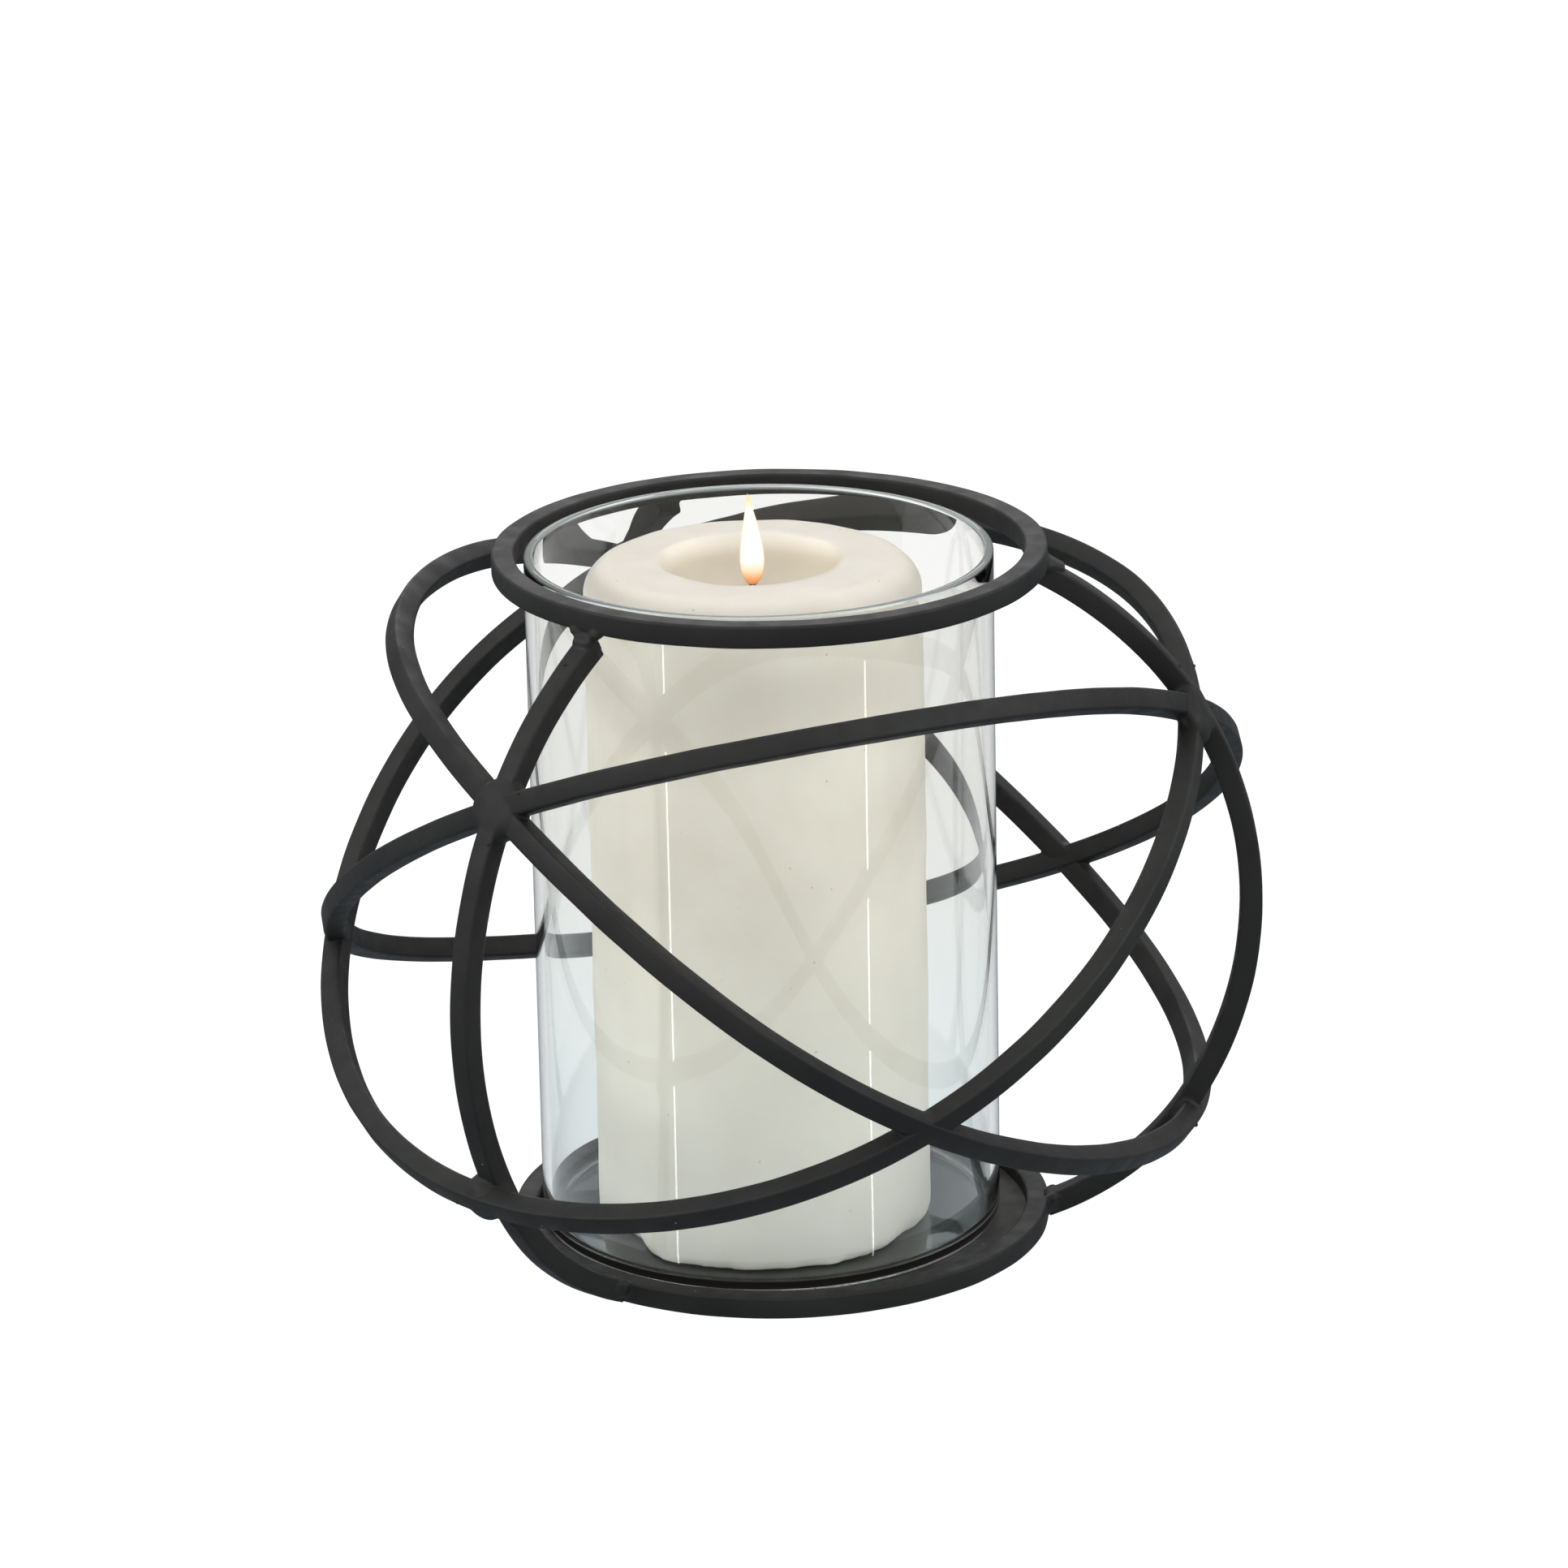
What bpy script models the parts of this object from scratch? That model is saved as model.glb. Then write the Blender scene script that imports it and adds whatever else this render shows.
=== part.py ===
"""Hurricane candle lantern: a welded cage of square bar round a glass cylinder and a pillar candle.

Origin: centre of the tray's underside, on the axis of both rings. +Z up, the front faces -Y.
Turns about the axis are in degrees: 0 faces -Y and 90 faces +X.
"""

import bmesh
import bpy
import numpy as np
from mathutils import Matrix, Vector

MM = 0.001
GAP = 0.3  # clearance between pieces that touch

# Driving dimensions, in millimetres.
BAR = 5.0
BAR_CHAMFER = 0.9
BOTTOM_RING_RADIUS = 57.5  # centre lines of the bars in the two rings
TOP_RING_RADIUS = 58.4
TOP_RING_HEIGHT = 155.7
TRAY_THICKNESS = 1.5

GLASS_RADIUS = 51.5
GLASS_WALL = 2.0
GLASS_FLOOR = 2.4
GLASS_TOP = 157.5
GLASS_HEEL = 2.4  # outer rounding between the wall and the floor
GLASS_CENTRE = (-2.4, 0.0)  # the glass stands a little off centre in the tray

CANDLE_RADIUS = 37.0
CANDLE_HEIGHT = 152.4
CANDLE_SHOULDER = 7.0
CANDLE_CENTRE = (-3.8, -5.6)
WELL_RADIUS = 20.0
WELL_DEPTH = 6.5
WELL_STEEPNESS = 5  # the higher, the flatter the pool and the steeper its wall
WICK_RADIUS = 0.9
WICK_STANDS = 2.6  # how far the wick stands out of the wax

# Ribs: an arc in a plane through the axis, from under the top ring down to its hoop's low point,
# then a flatter foot in to the bottom ring.
RIB_RADIUS = 87.0
RIB_CENTRE_HEIGHT = 74.6
RIBS = (  # turn, and how far the arc's centre stands off the axis
    (-41.0, 14.5),
    (89.0, 18.5),
    (203.0, 19.5),
)
RIB_TOP_REACH = 2.0  # the rib's upper weld sits this far outside the ring's centre line
FEET = (  # turn at which each rib's foot meets the ring, and how far the foot bows out
    (-37.5, 4.6),
    (89.0, 2.8),
    (203.0, 2.8),
)
FOOT_HEIGHT = 2.65

# Hoops are hand bent through these stations: turn, radius and height of the bar's centre line.
UPPER = ((-41.0, 88.0, 120.5), (89.0, 92.0, 119.0), (201.5, 88.5, 130.5))
LOW = ((-43.0, 96.5, 34.5), (88.5, 92.0, 24.5), (207.5, 96.0, 36.5))
SIDE = ((140.0, 105.5, 56.5), (251.5, 105.0, 58.5), (17.0, 104.5, 59.5))
CROWN = ((136.5, 80.5, 142.5), (263.0, 81.0, 142.5), (17.5, 81.5, 141.0))

# Weld knots: radius across the bars, and half thickness through them.
KNOTS = {"upper": (7.0, 3.9), "low": (6.0, 4.4), "side": (6.3, 3.0)}
TOP_WELD = (4.4, 3.4)
FOOT_WELD = (3.9, 2.45)

SWEEP_STEP = 5.5  # length of one straight run along a bent bar
STOP_RANGE = 15.0  # a weld further off than this is not on the bar
ROUND_SEGMENTS = 48

COLOURS = {  # colour, roughness, metallic
    "steel": ((0.028, 0.027, 0.026, 1.0), 0.55, 0.0),
    "glass": ((0.86, 0.92, 0.92, 1.0), 0.03, 0.0),
    "wax": ((0.80, 0.75, 0.64, 1.0), 0.60, 0.0),
    "wick": ((0.09, 0.05, 0.03, 1.0), 0.90, 0.0),
}


def clear_scene():
    for obj in list(bpy.data.objects):
        bpy.data.objects.remove(obj, do_unlink=True)


def make_material(name):
    colour, roughness, metallic = COLOURS[name]
    material = bpy.data.materials.new(name)
    material.use_nodes = True
    shader = material.node_tree.nodes["Principled BSDF"]
    shader.inputs["Base Color"].default_value = colour
    shader.inputs["Roughness"].default_value = roughness
    shader.inputs["Metallic"].default_value = metallic
    material.diffuse_color = colour
    return material


def add_object(name, bm, material, parent=None, smooth=True):
    """The finished mesh, in millimetres about the origin, as a named object."""
    bmesh.ops.recalc_face_normals(bm, faces=bm.faces)
    origin = parent.location / MM if parent else Vector((0, 0, 0))
    bmesh.ops.translate(bm, verts=bm.verts, vec=-origin)
    bmesh.ops.scale(bm, verts=bm.verts, vec=(MM, MM, MM))
    mesh = bpy.data.meshes.new(name)
    bm.to_mesh(mesh)
    bm.free()
    if smooth:
        mesh.shade_smooth()
        mesh.set_sharp_from_angle(angle=np.radians(35))
    mesh.materials.append(material)
    obj = bpy.data.objects.new(name, mesh)
    obj.parent = parent
    bpy.context.scene.collection.objects.link(obj)
    return obj


def add_empty(name, at):
    empty = bpy.data.objects.new(name, None)
    empty.location = Vector(at) * MM
    bpy.context.scene.collection.objects.link(empty)
    return empty


def at_turn(turn, radius, height):
    angle = np.radians(turn)
    return np.array([radius * np.sin(angle), -radius * np.cos(angle), height])


def unit(vector):
    return vector / np.linalg.norm(vector)


# --- bars ---------------------------------------------------------------------------------------


def bar_section(size):
    """Square with cut corners, as offsets along a bar's outward and sideways directions."""
    half = size / 2
    inner = half - BAR_CHAMFER
    return [(half, inner), (inner, half), (-inner, half), (-half, inner),
            (-half, -inner), (-inner, -half), (inner, -half), (half, -inner)]


def sweep(path, outward, size=BAR, closed=False):
    """A square bar along a path of points, with one face turned to each point's outward direction."""
    bm = bmesh.new()
    rings = []
    count = len(path)
    for i, point in enumerate(path):
        before = path[i - 1] if closed or i else path[0]
        after = path[(i + 1) % count] if closed or i < count - 1 else path[-1]
        along = unit(after - before)
        out = unit(outward[i] - along * np.dot(outward[i], along))
        side = np.cross(along, out)
        corners = [point + out * a + side * b for a, b in bar_section(size)]
        rings.append([bm.verts.new(corner) for corner in corners])
    steps = count if closed else count - 1
    for i in range(steps):
        here, there = rings[i], rings[(i + 1) % count]
        for j in range(len(here)):
            k = (j + 1) % len(here)
            bm.faces.new((here[j], here[k], there[k], there[j]))
    if not closed:
        bm.faces.new(rings[0])
        bm.faces.new(rings[-1])
    return bm


def cut_to_length(points, directions, stops):
    """The middle of a dense path, cut back from every weld it meets and evened into short runs.

    A stop is a weld's centre and the distance along the bar that it takes.
    """
    along = np.gradient(points, axis=0)
    along /= np.linalg.norm(along, axis=1)[:, None]
    keep = np.ones(len(points), bool)
    for centre, reach in stops:
        apart = points - centre
        near = np.linalg.norm(apart, axis=1) < STOP_RANGE
        keep &= ~(near & (np.abs(np.sum(apart * along, axis=1)) < reach))
    points, directions = points[keep], directions[keep]
    lengths = np.concatenate([[0.0], np.cumsum(np.linalg.norm(np.diff(points, axis=0), axis=1))])
    runs = max(2, int(round(lengths[-1] / SWEEP_STEP)))
    wanted = np.linspace(0.0, lengths[-1], runs + 1)
    path = np.stack([np.interp(wanted, lengths, points[:, i]) for i in range(3)], axis=1)
    outward = np.stack([np.interp(wanted, lengths, directions[:, i]) for i in range(3)], axis=1)
    return path, outward


def flat_ring(radius, height, size=BAR):
    turns = np.arange(ROUND_SEGMENTS) * 360.0 / ROUND_SEGMENTS
    path = [at_turn(turn, radius, height) for turn in turns]
    outward = [at_turn(turn, 1.0, 0.0) for turn in turns]
    return sweep(path, outward, size, closed=True)


# --- hoops --------------------------------------------------------------------------------------

HOOP_ANGLES = np.radians((0.0, 55.2, 124.8, 180.0, 235.2, 304.8))  # of a hoop's stations, from its crown
HOOP_SAMPLES = 2400


def waves(angle):
    """The few terms that bend a hoop: a circle and its first two distortions."""
    angle = np.asarray(angle)
    return np.stack([np.ones_like(angle), np.cos(angle), np.sin(angle),
                     np.cos(2 * angle), np.sin(2 * angle), np.cos(3 * angle)], axis=-1)


def hoop_stations(k):
    """Crown, upper, side, low, side, upper: the order in which hoop k meets its stations."""
    after, before = (k + 1) % 3, (k + 2) % 3
    return [at_turn(*CROWN[k]), at_turn(*UPPER[before]), at_turn(*SIDE[after]),
            at_turn(*LOW[k]), at_turn(*SIDE[before]), at_turn(*UPPER[after])]


def hoop_curve(k):
    """Angles, points and outward directions all the way round hoop k."""
    stations = np.array(hoop_stations(k))
    bend = np.linalg.solve(waves(HOOP_ANGLES), stations)
    angles = np.linspace(0.0, 2 * np.pi, HOOP_SAMPLES, endpoint=False)
    points = waves(angles) @ bend
    return angles, points, points - points.mean(axis=0)


def hoop_lengths(k):
    """Name, first station and last station of each bar that hoop k is welded up from."""
    return (("crown", 5, 1), ("near_upper", 1, 2), ("near_lower", 2, 3),
            ("far_lower", 3, 4), ("far_upper", 4, 5))


def make_hoop(k, steel, stops):
    angles, points, directions = hoop_curve(k)
    for name, first, last in hoop_lengths(k):
        start, end = HOOP_ANGLES[first], HOOP_ANGLES[last]
        inside = (angles >= start) & (angles <= end) if start < end else (angles >= start) | (angles <= end)
        index = np.nonzero(inside)[0]
        if start > end:
            index = np.roll(index, int((angles[index] >= start).sum()))
        path, outward = cut_to_length(points[index], directions[index], stops)
        add_object(f"hoop_{k + 1}_{name}", sweep(path, outward), steel)


# --- ribs ---------------------------------------------------------------------------------------


def rib_arc_radius(rib, height):
    return RIBS[rib][1] + np.sqrt(RIB_RADIUS**2 - (height - RIB_CENTRE_HEIGHT) ** 2)


def rib_arc_height(rib, radius):
    return RIB_CENTRE_HEIGHT + np.sqrt(RIB_RADIUS**2 - (radius - RIBS[rib][1]) ** 2)


def rib_curve(rib):
    """Dense points and outward directions from the top ring down to the bottom ring."""
    top = rib_arc_height(rib, TOP_RING_RADIUS)
    low = LOW[rib][2]
    angles = np.arcsin((np.array([top, low]) - RIB_CENTRE_HEIGHT) / RIB_RADIUS)
    sweep_angles = np.linspace(angles[0], angles[1], 400)
    radii = RIBS[rib][1] + RIB_RADIUS * np.cos(sweep_angles)
    heights = RIB_CENTRE_HEIGHT + RIB_RADIUS * np.sin(sweep_angles)
    turn = RIBS[rib][0]
    arc_points = np.array([at_turn(turn, r, z) for r, z in zip(radii, heights)])
    foot_turn, bulge = FEET[rib]
    start = arc_points[-1]
    end = at_turn(foot_turn, BOTTOM_RING_RADIUS + BAR / 2, FOOT_HEIGHT)
    chord = unit(end - start)
    down = np.array([0.0, 0.0, -1.0])
    bend = (start + end) / 2 + 2 * bulge * unit(down - chord * np.dot(down, chord))
    s = np.linspace(0.0, 1.0, 200)[1:, None]
    foot = (1 - s) ** 2 * start + 2 * s * (1 - s) * bend + s**2 * end
    points = np.concatenate([arc_points, foot])
    along = np.gradient(points, axis=0)
    sideways = at_turn(turn + 90.0, 1.0, 0.0)
    return points, np.cross(along, sideways)


def make_rib(rib, steel, stops):
    points, directions = rib_curve(rib)
    heights = points[:, 2]
    upper, low = UPPER[rib][2], LOW[rib][2]
    pieces = (("upper", heights > upper), ("middle", (heights <= upper) & (heights > low)), ("foot", heights <= low))
    for name, inside in pieces:
        path, outward = cut_to_length(points[inside], directions[inside], stops)
        add_object(f"rib_{rib + 1}_{name}", sweep(path, outward), steel)


# --- welds --------------------------------------------------------------------------------------


def lump(centre, outward, radius, half_thickness):
    """A flattened ball of weld metal, lying in the cage's surface at this point."""
    bm = bmesh.new()
    bmesh.ops.create_uvsphere(bm, u_segments=12, v_segments=7, radius=1.0)
    turn = Vector(outward).to_track_quat("Z", "Y").to_matrix().to_4x4()
    size = Matrix.Diagonal((radius, radius, half_thickness, 1.0))
    bmesh.ops.transform(bm, matrix=Matrix.Translation(Vector(centre)) @ turn @ size, verts=bm.verts)
    return bm


def knot_centre(kind, index):
    """Between the hoops' crossing and the rib behind it; on the hoops alone at a side crossing."""
    station = at_turn(*{"upper": UPPER, "low": LOW, "side": SIDE}[kind][index])
    if kind == "side":
        return station
    turn, height = RIBS[index][0], station[2]
    return (station + at_turn(turn, rib_arc_radius(index, height), height)) / 2


def knot_list():
    return [(kind, index) for kind in KNOTS for index in range(3)]


def make_knots(steel):
    """Adds the knots and returns the stops that keep every bar clear of them."""
    stops = []
    middle = np.array([0.0, 0.0, RIB_CENTRE_HEIGHT])
    for kind, index in knot_list():
        radius, half_thickness = KNOTS[kind]
        centre = knot_centre(kind, index)
        add_object(f"weld_{kind}_{index + 1}", lump(centre, centre - middle, radius, half_thickness), steel)
        stops.append((centre, radius + GAP))
    return stops


def make_end_weld(name, centre, size, steel, cutter):
    """A weld where a rib meets a ring, cut back to leave the ring its clearance."""
    bm = lump(centre, (0.0, 0.0, 1.0), *size)
    weld = add_object(name, bm, steel)
    cut = weld.modifiers.new("ring", "BOOLEAN")
    cut.operation = "DIFFERENCE"
    cut.object = cutter
    return (np.array(centre), size[0] + GAP)


def ring_cutter(name, radius, height, steel):
    cutter = add_object(name, flat_ring(radius, height, BAR + 2 * GAP), steel)
    cutter.hide_render = True
    cutter.display_type = "WIRE"
    return cutter


def make_end_welds(steel):
    top_cutter = ring_cutter("top_ring_clearance", TOP_RING_RADIUS, TOP_RING_HEIGHT, steel)
    foot_cutter = ring_cutter("bottom_ring_clearance", BOTTOM_RING_RADIUS, BAR / 2, steel)
    top_radius = TOP_RING_RADIUS + RIB_TOP_REACH
    foot_radius = BOTTOM_RING_RADIUS + BAR / 2 + FOOT_WELD[0] / 2
    stops = []
    for rib in range(3):
        top = at_turn(RIBS[rib][0], top_radius, TOP_RING_HEIGHT - BAR / 2 - TOP_WELD[1] / 2)
        foot = at_turn(FEET[rib][0], foot_radius, FOOT_WELD[1] + GAP)
        stops.append(make_end_weld(f"weld_rib_top_{rib + 1}", top, TOP_WELD, steel, top_cutter))
        stops.append(make_end_weld(f"weld_rib_foot_{rib + 1}", foot, FOOT_WELD, steel, foot_cutter))
    return stops


# --- turned pieces ------------------------------------------------------------------------------


def arc(centre, radius, start, end, steps):
    """Points of an arc in the (radius, height) plane, angles in degrees from the outward direction."""
    angles = np.radians(np.linspace(start, end, steps + 1))
    return [(centre[0] + radius * np.cos(a), centre[1] + radius * np.sin(a)) for a in angles]


def turned(profile, centre=(0.0, 0.0)):
    """A solid turned from an outline of (radius, height) that starts and ends on the axis."""
    bm = bmesh.new()
    rows = []
    for radius, height in profile:
        if radius < 1e-6:
            rows.append([bm.verts.new((centre[0], centre[1], height))])
            continue
        angles = np.arange(ROUND_SEGMENTS) * 2 * np.pi / ROUND_SEGMENTS
        rows.append([bm.verts.new((centre[0] + radius * np.cos(a), centre[1] + radius * np.sin(a), height))
                     for a in angles])
    for here, there in zip(rows, rows[1:]):
        for i in range(ROUND_SEGMENTS):
            j = (i + 1) % ROUND_SEGMENTS
            corners = [here[i % len(here)], here[j % len(here)], there[j % len(there)], there[i % len(there)]]
            bm.faces.new(list(dict.fromkeys(corners)))
    return bm


def tray_profile():
    radius = BOTTOM_RING_RADIUS - BAR / 2 - GAP
    return [(0.0, 0.0), (radius, 0.0), (radius, TRAY_THICKNESS), (0.0, TRAY_THICKNESS)]


def glass_base():
    return TRAY_THICKNESS + GAP


def candle_base():
    return glass_base() + GLASS_FLOOR + GAP


def glass_profile():
    base, heel, rim = glass_base(), GLASS_HEEL, GLASS_WALL / 2
    inner = GLASS_RADIUS - GLASS_WALL
    floor = base + GLASS_FLOOR
    outline = [(0.0, base)]
    outline += arc((GLASS_RADIUS - heel, base + heel), heel, -90, 0, 4)
    outline += arc((GLASS_RADIUS - rim, GLASS_TOP - rim), rim, 0, 180, 4)
    outline += arc((inner - rim, floor + rim), rim, 0, -90, 2)
    outline += [(0.0, floor)]
    return outline


def candle_profile():
    base = candle_base()
    top = base + CANDLE_HEIGHT
    shoulder = CANDLE_SHOULDER
    outline = [(0.0, base), (CANDLE_RADIUS - 1.0, base), (CANDLE_RADIUS, base + 1.0)]
    outline += arc((CANDLE_RADIUS - shoulder, top - shoulder), shoulder, 0, 90, 5)
    for share in (1.0, 0.96, 0.88, 0.76, 0.6, 0.4, 0.2):
        depth = WELL_DEPTH * (1.0 - share**WELL_STEEPNESS) ** 0.75
        outline.append((WELL_RADIUS * share, top - 0.3 - depth))
    bore = WICK_RADIUS + GAP
    outline += [(bore, top - 0.3 - WELL_DEPTH), (bore, base + 2.0), (0.0, base + 2.0)]
    return outline


def wick_profile():
    foot = candle_base() + 2.0 + GAP
    tip = candle_base() + CANDLE_HEIGHT - WELL_DEPTH + WICK_STANDS
    return [(0.0, foot), (WICK_RADIUS, foot), (WICK_RADIUS, tip - 0.5), (WICK_RADIUS / 2, tip), (0.0, tip)]


def main():
    clear_scene()
    materials = {name: make_material(name) for name in COLOURS}
    steel = materials["steel"]

    add_object("top_ring", flat_ring(TOP_RING_RADIUS, TOP_RING_HEIGHT), steel)
    add_object("bottom_ring", flat_ring(BOTTOM_RING_RADIUS, BAR / 2), steel)
    add_object("tray_plate", turned(tray_profile()), steel)
    stops = make_knots(steel) + make_end_welds(steel)
    for index in range(3):
        make_hoop(index, steel, stops)
        make_rib(index, steel, stops)

    glass_axis = add_empty("glass_lift_axis", (*GLASS_CENTRE, glass_base()))
    add_object("glass_cylinder", turned(glass_profile(), GLASS_CENTRE), materials["glass"], glass_axis)
    candle_axis = add_empty("candle_lift_axis", (*CANDLE_CENTRE, candle_base()))
    add_object("candle", turned(candle_profile(), CANDLE_CENTRE), materials["wax"], candle_axis)
    add_object("wick", turned(wick_profile(), CANDLE_CENTRE), materials["wick"], candle_axis)


main()
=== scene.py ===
"""Looks of the hurricane candle lantern: coated and welded square bar, clear glass, wax, wick and flame.

Shapes are worked out in millimetres in the CAD's own frame and become metres when a piece is made.
Turns about the lantern's axis are in degrees: 0 faces -Y and 90 faces +X.
"""

import bmesh
import bpy
import numpy as np
from mathutils import Matrix, Vector, noise


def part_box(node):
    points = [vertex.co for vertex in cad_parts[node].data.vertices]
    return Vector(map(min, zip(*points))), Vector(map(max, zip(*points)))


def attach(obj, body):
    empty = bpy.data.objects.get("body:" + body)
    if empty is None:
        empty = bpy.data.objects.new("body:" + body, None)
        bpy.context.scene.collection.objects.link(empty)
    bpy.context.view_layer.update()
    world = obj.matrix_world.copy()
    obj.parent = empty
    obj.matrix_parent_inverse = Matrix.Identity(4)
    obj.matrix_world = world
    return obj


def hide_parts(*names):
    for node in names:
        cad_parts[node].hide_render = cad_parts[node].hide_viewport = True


MM = 0.001
NOISE_SEED = 4
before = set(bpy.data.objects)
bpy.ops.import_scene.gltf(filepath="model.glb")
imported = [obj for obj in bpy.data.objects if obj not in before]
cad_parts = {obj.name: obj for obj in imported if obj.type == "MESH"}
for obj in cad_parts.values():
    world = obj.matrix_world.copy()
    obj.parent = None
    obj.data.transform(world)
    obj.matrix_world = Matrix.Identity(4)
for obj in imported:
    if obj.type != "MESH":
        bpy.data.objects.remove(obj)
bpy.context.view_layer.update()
noise.seed_set(NOISE_SEED)  # noise_vector starts from the clock otherwise


def box_mm(node):
    """The lowest and the highest corner of a CAD node, in millimetres."""
    low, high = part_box(node)
    return np.array(low) / MM, np.array(high) / MM


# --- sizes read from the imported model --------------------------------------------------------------

RING_LOW, RING_HIGH = box_mm("top_ring")
BAR = RING_HIGH[2] - RING_LOW[2]
TOP_RING_RADIUS = (RING_HIGH[0] - RING_LOW[0] - BAR) / 2
TOP_RING_HEIGHT = (RING_HIGH[2] + RING_LOW[2]) / 2
BASE_LOW, BASE_HIGH = box_mm("bottom_ring")
BOTTOM_RING_RADIUS = (BASE_HIGH[0] - BASE_LOW[0] - BAR) / 2
TRAY_LOW, TRAY_HIGH = box_mm("tray_plate")
GLASS_LOW, GLASS_HIGH = box_mm("glass_cylinder")
GLASS_CENTRE = (GLASS_LOW + GLASS_HIGH)[:2] / 2
GLASS_RADIUS = (GLASS_HIGH[0] - GLASS_LOW[0]) / 2
CANDLE_LOW, CANDLE_HIGH = box_mm("candle")
CANDLE_CENTRE = (CANDLE_LOW + CANDLE_HIGH)[:2] / 2
CANDLE_RADIUS = (CANDLE_HIGH[0] - CANDLE_LOW[0]) / 2
CANDLE_TOP = CANDLE_HIGH[2]
WICK_TOP = box_mm("wick")[1][2]

# --- the cage's route and the hidden sizes, repeated from the CAD in millimetres -------------------

RIB_RADIUS = 87.0
RIB_CENTRE_HEIGHT = 74.6
RIBS = ((-41.0, 14.5), (89.0, 18.5), (203.0, 19.5))  # turn, and how far the arc's centre is off the axis
FEET = ((-37.5, 4.6), (89.0, 2.8), (203.0, 2.8))  # turn at the bottom ring, and how far the foot bows out
FOOT_HEIGHT = 2.65
UPPER = ((-41.0, 88.0, 120.5), (89.0, 92.0, 119.0), (201.5, 88.5, 130.5))  # turn, radius and height
LOW = ((-43.0, 96.5, 34.5), (88.5, 92.0, 24.5), (207.5, 96.0, 36.5))
SIDE = ((140.0, 105.5, 56.5), (251.5, 105.0, 58.5), (17.0, 104.5, 59.5))
CROWN = ((136.5, 80.5, 142.5), (263.0, 81.0, 142.5), (17.5, 81.5, 141.0))
HOOP_ANGLES = np.radians((0.0, 55.2, 124.8, 180.0, 235.2, 304.8))  # where a hoop passes its six stations
HOOP_BARS = ("crown", "near_upper", "near_lower", "far_lower", "far_upper")
RIB_BARS = ("upper", "middle", "foot")
GLASS_WALL = 2.0
GLASS_FLOOR = 2.4
SHOULDER = 7.0
WELL_RADIUS = 20.0
WELL_DEPTH = 6.5
WELL_STEEPNESS = 5

# --- finish of the bar and its welds ---------------------------------------------------------------

CORNER = 0.7  # rounding of the coated bar's edges
CORNER_STEPS = 4
PATH_STEP = 2.0
UNEVEN = 0.09  # how far the bar strays from true, and over what length
UNEVEN_GRAIN = 11.0
STUB_REACH = 10.5  # how far a weld's fillets are worked out along each bar
END_REACH = 8.5  # and at the ends of a rib
STUB_STEP = 1.2
STUB_BAR = BAR - 0.12
MAX_MISS = 0.5  # a knot further than this from the CAD's means that the route is wrong
VOXEL = 0.42
FILLET_PASSES = 18
KEPT_FACES = 0.4
BEADS = {("upper", 1): ((86.0, 93.2, 117.6),)}  # extra weld metal: turn, radius and height
BEAD_SIZE = (5.2, 5.2, 2.7)
KNOT_PUCKS = {"upper": (6.9, 3.2), "low": (5.2, 4.3), "side": (3.6, 2.4)}  # radius, half thickness
SLIM_PUCKS = {("low", 1): (3.9, 3.4)}  # a knot with little weld metal
PUCK_SQUARENESS = 0.55

# End welds of the ribs: how far outside the ring's centre line, and how high, each lump of metal is.
RIB_TOP = (TOP_RING_RADIUS + 1.2, TOP_RING_HEIGHT - 3.0)
FILLER_REACH = 5.5
FILLER_LIFT = 1.5
FLARES = (TOP_RING_RADIUS + 1.6, TOP_RING_HEIGHT - 2.7)
FLARE_TURN = 2.7
FLARE_SIZE = (1.7, 1.7, 1.2)
RIB_FOOT = (BOTTOM_RING_RADIUS + 3.0, BAR / 2 + 0.6)
RIB_FOOT_SIZE = (3.3, 3.6, 2.2)
FOOT_BEADS = (BOTTOM_RING_RADIUS + 3.6, BAR - 0.2)
FOOT_BEAD_TURN = 2.6
FOOT_BEAD_SIZE = (1.5, 1.5, 1.2)

SPATTER_SEED = 11
SPATTER_FROM, SPATTER_TO = 6.5, 13.0  # distance from the weld's centre
SPATTER_SKIPPED = 0.4  # share of the bars at a weld that have none
SPATTER_SMALL, SPATTER_LARGE = 0.30, 0.60

# --- fine shapes of the tray, glass, candle and flame ----------------------------------------------

TRAY_LAP = 0.2  # the tray's edge runs this far into the ring
TRAY_FILLET = ((0.0, 0.5), (0.35, 0.15))  # coating in the corner: inside the edge, above the tray
GLASS_HEEL = 3.0
GLASS_INNER_HEEL = 2.5
GLASS_KICK = 0.5  # hollow under the glass, and its radius
GLASS_KICK_RADIUS = 46.0
CHIPS = ((-60.0, 12.0, 4, 4.6), (62.0, 20.0, 2, 1.3))  # turn, half width, sharpness, height
CHIP_RUN = 2.2  # a chip fades out at this many times its height
FOOT_RISES = (0.4, 0.9, 1.5, 2.2, 3.0, 3.9, 4.9, 6.0, 7.5, 9.5)  # rows of the candle's ragged foot
WELL_SHARES = (1.0, 0.985, 0.96, 0.93, 0.89, 0.84, 0.77, 0.68, 0.56, 0.42, 0.28, 0.16, 0.08)
WELL_LIP = 0.12  # the well starts this far below the candle's top
WELL_SHIFT = (-0.6, 1.2)  # the pool melted a little off centre
WICK_RADIUS = 0.85
WICK_TAPER = 0.25
WICK_ROWS = 14
FLAME_HEIGHT = 20.8
FLAME_RADIUS = 3.0
FLAME_LEAN = -0.9

# --- colours ---------------------------------------------------------------------------------------

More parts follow.
